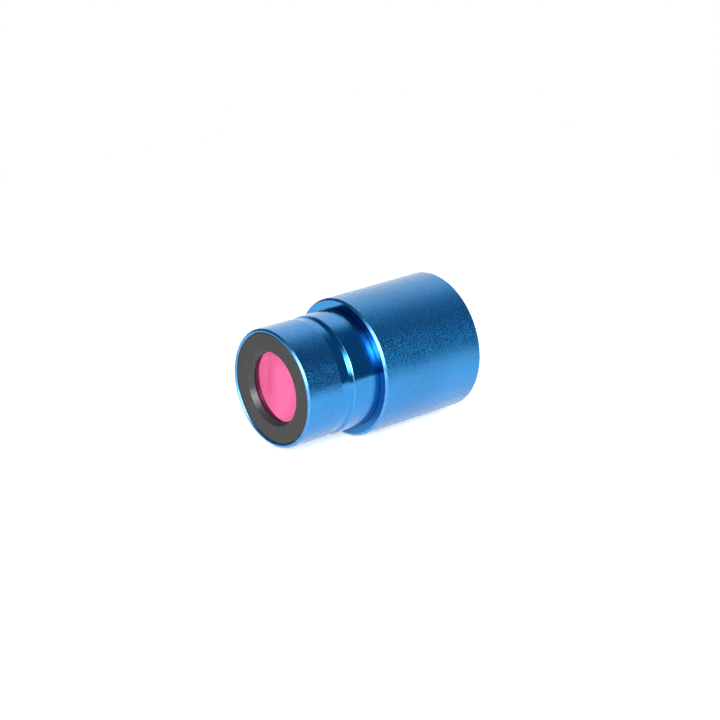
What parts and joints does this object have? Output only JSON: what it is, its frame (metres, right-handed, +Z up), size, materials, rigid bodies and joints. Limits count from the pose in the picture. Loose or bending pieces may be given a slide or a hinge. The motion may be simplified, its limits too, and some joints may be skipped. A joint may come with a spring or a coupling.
{
  "type": "guide camera",
  "caption": "Small cylindrical telescope guide camera with a push-fit nosepiece, a screwed-on filter cell, and data and guide sockets in its rear cover.",
  "frame": {"origin": "on the surface the camera lies on, under the middle of its length", "axes": "+Z up; the optical axis runs along Y, with the nose towards -Y and the sockets towards +Y"},
  "size_m": [0.037, 0.0556, 0.037],
  "materials": {
    "blue_satin_anodised": "bead-blasted and anodised, satin",
    "blue_polished_anodised": "bright turned and anodised, polished",
    "black_matt_anodised": "matt black anodised",
    "black_plastic": "moulded, matt",
    "black_rubber": "matt",
    "pink_coated_glass": "polished, with a mirror-like pink interference coating",
    "clear_glass": "polished",
    "steel": "plated, semi-bright",
    "brass": "turned",
    "gold_plating": "gold plated, bright",
    "grey_ferrite": "pressed ferrite, matt",
    "sensor_ceramic": "fired, matt",
    "silicon_die": "polished",
    "circuit_board": "solder resist, semi-gloss"
  },
  "bodies": {
    "camera_body": {"body_tube": "blue_satin_anodised", "rear_cover": "blue_satin_anodised", "cover_screw_1": "steel", "cover_screw_2": "steel", "cover_screw_3": "steel", "sensor_board": "circuit_board", "image_sensor": "sensor_ceramic", "sensor_die": "silicon_die", "sensor_cover_glass": "clear_glass", "interface_board": "circuit_board", "memory_chip": "black_plastic", "voltage_regulator": "black_plastic", "power_inductor": "grey_ferrite", "usb_controller": "black_plastic", "clock_crystal": "steel", "board_connector": "black_plastic", "standoff_1": "brass", "standoff_2": "brass", "standoff_3": "brass", "board_spacer_1": "brass", "board_spacer_2": "brass", "board_spacer_3": "brass", "board_screw_1": "steel", "board_screw_2": "steel", "board_screw_3": "steel", "usb_socket_base": "black_plastic", "usb_socket_shell": "steel", "usb_socket_tongue": "black_plastic", "guide_port_housing": "black_plastic", "guide_contact_1": "gold_plating", "guide_contact_2": "gold_plating", "guide_contact_3": "gold_plating", "guide_contact_4": "gold_plating", "guide_contact_5": "gold_plating", "guide_contact_6": "gold_plating"},
    "nosepiece_seal": {"nosepiece_seal_ring": "black_rubber"},
    "nosepiece": {"nosepiece": "blue_polished_anodised"},
    "cell_seal": {"cell_seal_ring": "black_rubber"},
    "filter_cell": {"filter_cell": "blue_satin_anodised", "retaining_ring": "black_matt_anodised", "ir_filter": "pink_coated_glass", "filter_gasket": "black_rubber"}
  },
  "joints": [
    {"name": "nosepiece_travel", "type": "slide", "parent": "camera_body", "child": "nosepiece_seal", "axis": [0, -1, 0], "range_m": [0, 0.00397]},
    {"name": "nosepiece_turn", "type": "hinge", "parent": "nosepiece_seal", "child": "nosepiece", "pos_m": [0, -0.00465, 0.01848], "axis": [0, -1, 0], "range_deg": [0, 1800]},
    {"name": "cell_travel", "type": "slide", "parent": "nosepiece", "child": "cell_seal", "axis": [0, -1, 0], "range_m": [0, 0.0036]},
    {"name": "cell_turn", "type": "hinge", "parent": "cell_seal", "child": "filter_cell", "pos_m": [0, -0.01695, 0.01848], "axis": [0, -1, 0], "range_deg": [0, 2160]}
  ],
  "couplings": [
    {"joint": "nosepiece_turn", "follows": "nosepiece_travel", "rad_per_m": 7915.8},
    {"joint": "cell_turn", "follows": "cell_travel", "rad_per_m": 10472}
  ]
}
